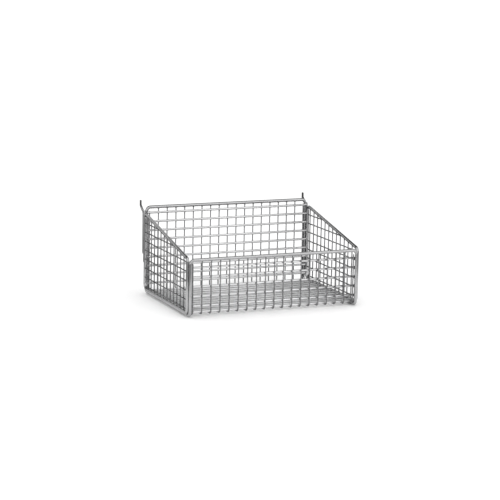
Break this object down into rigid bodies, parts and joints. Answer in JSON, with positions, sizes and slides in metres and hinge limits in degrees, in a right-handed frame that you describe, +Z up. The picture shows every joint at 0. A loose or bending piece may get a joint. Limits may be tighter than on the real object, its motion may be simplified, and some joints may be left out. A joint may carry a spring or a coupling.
{
  "type": "slatwall wire basket",
  "caption": "Plated wire basket with a high back, a low front and sloping sides, hung on a slatted display wall by two hook plates.",
  "frame": {"origin": "middle of the outline, on the plane of the runners' underside", "axes": "+X along the wall to the basket's right as seen from the front, +Y towards the wall, +Z up"},
  "size_m": [0.4918, 0.3697, 0.2512],
  "materials": {
    "plated_wire": "smooth satin silver plating on drawn wire",
    "plated_rod": "smooth satin silver plating on drawn rod",
    "plated_plate": "satin silver plating on cut plate"
  },
  "bodies": {
    "root": {"long_wire_01": "plated_wire", "long_wire_02": "plated_wire", "long_wire_03": "plated_wire", "long_wire_04": "plated_wire", "long_wire_05": "plated_wire", "long_wire_06": "plated_wire", "long_wire_07": "plated_wire", "long_wire_08": "plated_wire", "long_wire_09": "plated_wire", "long_wire_10": "plated_wire", "long_wire_11": "plated_wire", "long_wire_12": "plated_wire", "long_wire_13": "plated_wire", "long_wire_14": "plated_wire", "long_wire_15": "plated_wire", "long_wire_16": "plated_wire", "long_wire_17": "plated_wire", "long_wire_18": "plated_wire", "long_wire_19": "plated_wire", "back_cross_wire_1": "plated_wire", "back_cross_wire_2": "plated_wire", "back_cross_wire_3": "plated_wire", "back_cross_wire_4": "plated_wire", "back_cross_wire_5": "plated_wire", "back_cross_wire_6": "plated_wire", "back_cross_wire_7": "plated_wire", "back_cross_wire_8": "plated_wire", "back_cross_wire_9": "plated_wire", "floor_cross_wire_01": "plated_wire", "floor_cross_wire_02": "plated_wire", "floor_cross_wire_03": "plated_wire", "floor_cross_wire_04": "plated_wire", "floor_cross_wire_05": "plated_wire", "floor_cross_wire_06": "plated_wire", "floor_cross_wire_07": "plated_wire", "floor_cross_wire_08": "plated_wire", "floor_cross_wire_09": "plated_wire", "floor_cross_wire_10": "plated_wire", "floor_cross_wire_11": "plated_wire", "floor_cross_wire_12": "plated_wire", "front_cross_wire_1": "plated_wire", "front_cross_wire_2": "plated_wire", "front_cross_wire_3": "plated_wire", "front_cross_wire_4": "plated_wire", "front_cross_wire_5": "plated_wire", "front_cross_wire_6": "plated_wire", "left_side_mesh": "plated_wire", "right_side_mesh": "plated_wire", "rim_rod": "plated_rod", "left_side_frame": "plated_rod", "right_side_frame": "plated_rod", "left_bracket": "plated_plate", "right_bracket": "plated_plate"}
  },
  "joints": []
}
